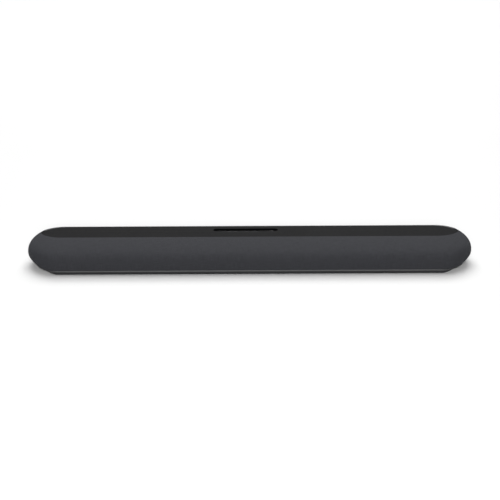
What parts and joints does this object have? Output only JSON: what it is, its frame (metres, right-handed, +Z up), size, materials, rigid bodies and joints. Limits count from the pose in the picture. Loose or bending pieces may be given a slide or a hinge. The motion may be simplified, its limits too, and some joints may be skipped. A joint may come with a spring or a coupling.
{
  "type": "soundbar",
  "caption": "Long slim soundbar with round ends, one curved cloth front, a flat matt top with a gloss touch strip, rear sockets, and sprung speaker cones inside.",
  "frame": {"origin": "middle of the footprint, on the surface that the feet stand on", "axes": "+X along the bar, the cloth front faces -Y, +Z up"},
  "size_m": [0.89, 0.131, 0.0531],
  "materials": {
    "top_plastic": "fine matt moulding",
    "gloss_black": "polished",
    "cloth": "woven, stretched",
    "frame_plastic": "moulded",
    "trim_plastic": "satin",
    "base_plastic": "matt",
    "inner_plastic": "moulded",
    "black_rubber": "matt",
    "foam": "closed-cell foam",
    "screw_steel": "zinc plated",
    "soft_iron": "plated",
    "ferrite": "sintered",
    "neodymium": "nickel plated",
    "brass": "knurled",
    "copper": "enamelled wire",
    "circuit_board": "solder mask",
    "chip_resin": "moulded resin",
    "aluminium": "extruded",
    "shield_tin": "tinned",
    "transformer_tape": "taped winding",
    "capacitor_sleeve": "shrink sleeve",
    "socket_plastic": "moulded",
    "socket_metal": "nickel plated",
    "led_lens": "clear resin",
    "infrared_lens": "tinted resin",
    "cone_paper": "coated pulp",
    "spider_cloth": "impregnated cotton",
    "dome_silk": "coated silk",
    "wire_sleeve": "insulated wire",
    "ribbon": "flat cable"
  },
  "bodies": {
    "root": {"top_cover": "top_plastic", "control_strip": "gloss_black", "grille_cloth": "cloth", "grille_frame": "frame_plastic", "lower_trim": "trim_plastic", "lower_frame": "base_plastic", "bottom_cover": "base_plastic", "rear_panel": "base_plastic", "front_baffle": "inner_plastic", "chamber_walls": "inner_plastic", "end_walls": "inner_plastic", "case_posts": "inner_plastic", "rubber_feet": "black_rubber", "bass_ports": "inner_plastic", "jack_tub": "base_plastic", "wall_inserts": "brass", "case_screws": "screw_steel", "driver_screws": "screw_steel", "board_standoffs": "aluminium", "board_screws": "screw_steel", "main_board": "circuit_board", "amplifier_chips": "chip_resin", "heat_sink": "aluminium", "wireless_module": "shield_tin", "power_board": "circuit_board", "power_transformer": "transformer_tape", "power_capacitors": "capacitor_sleeve", "ac_inlet": "socket_plastic", "hdmi_sockets": "socket_metal", "optical_socket": "socket_plastic", "aux_socket": "socket_plastic", "usb_socket": "socket_metal", "touch_board": "circuit_board", "led_board": "circuit_board", "status_leds": "led_lens", "infrared_receiver": "infrared_lens", "woofer_baskets": "inner_plastic", "woofer_gaskets": "foam", "woofer_top_plates": "soft_iron", "woofer_magnets": "ferrite", "woofer_yokes": "soft_iron", "woofer_surrounds": "black_rubber", "woofer_spiders": "spider_cloth", "tweeter_faceplates": "inner_plastic", "tweeter_cups": "soft_iron", "tweeter_magnets": "neodymium", "tweeter_pole_discs": "soft_iron", "speaker_wires": "wire_sleeve", "ribbon_cable": "ribbon"},
    "woofer_left_outer": {"woofer_cone_left_outer": "cone_paper", "woofer_coil_left_outer": "copper"},
    "woofer_left_inner": {"woofer_cone_left_inner": "cone_paper", "woofer_coil_left_inner": "copper"},
    "woofer_right_inner": {"woofer_cone_right_inner": "cone_paper", "woofer_coil_right_inner": "copper"},
    "woofer_right_outer": {"woofer_cone_right_outer": "cone_paper", "woofer_coil_right_outer": "copper"},
    "tweeter_left": {"tweeter_dome_left": "dome_silk"},
    "tweeter_right": {"tweeter_dome_right": "dome_silk"}
  },
  "joints": [
    {"name": "woofer_left_outer_travel", "type": "slide", "parent": "root", "child": "woofer_left_outer", "axis": [0, -1, 0], "range_m": [-0.002, 0.002], "stiffness_N_per_m": 400},
    {"name": "woofer_left_inner_travel", "type": "slide", "parent": "root", "child": "woofer_left_inner", "axis": [0, -1, 0], "range_m": [-0.002, 0.002], "stiffness_N_per_m": 400},
    {"name": "woofer_right_inner_travel", "type": "slide", "parent": "root", "child": "woofer_right_inner", "axis": [0, -1, 0], "range_m": [-0.002, 0.002], "stiffness_N_per_m": 400},
    {"name": "woofer_right_outer_travel", "type": "slide", "parent": "root", "child": "woofer_right_outer", "axis": [0, -1, 0], "range_m": [-0.002, 0.002], "stiffness_N_per_m": 400},
    {"name": "tweeter_left_travel", "type": "slide", "parent": "root", "child": "tweeter_left", "axis": [0, -1, 0], "range_m": [-0.0003, 0.0003], "stiffness_N_per_m": 300},
    {"name": "tweeter_right_travel", "type": "slide", "parent": "root", "child": "tweeter_right", "axis": [0, -1, 0], "range_m": [-0.0003, 0.0003], "stiffness_N_per_m": 300}
  ]
}
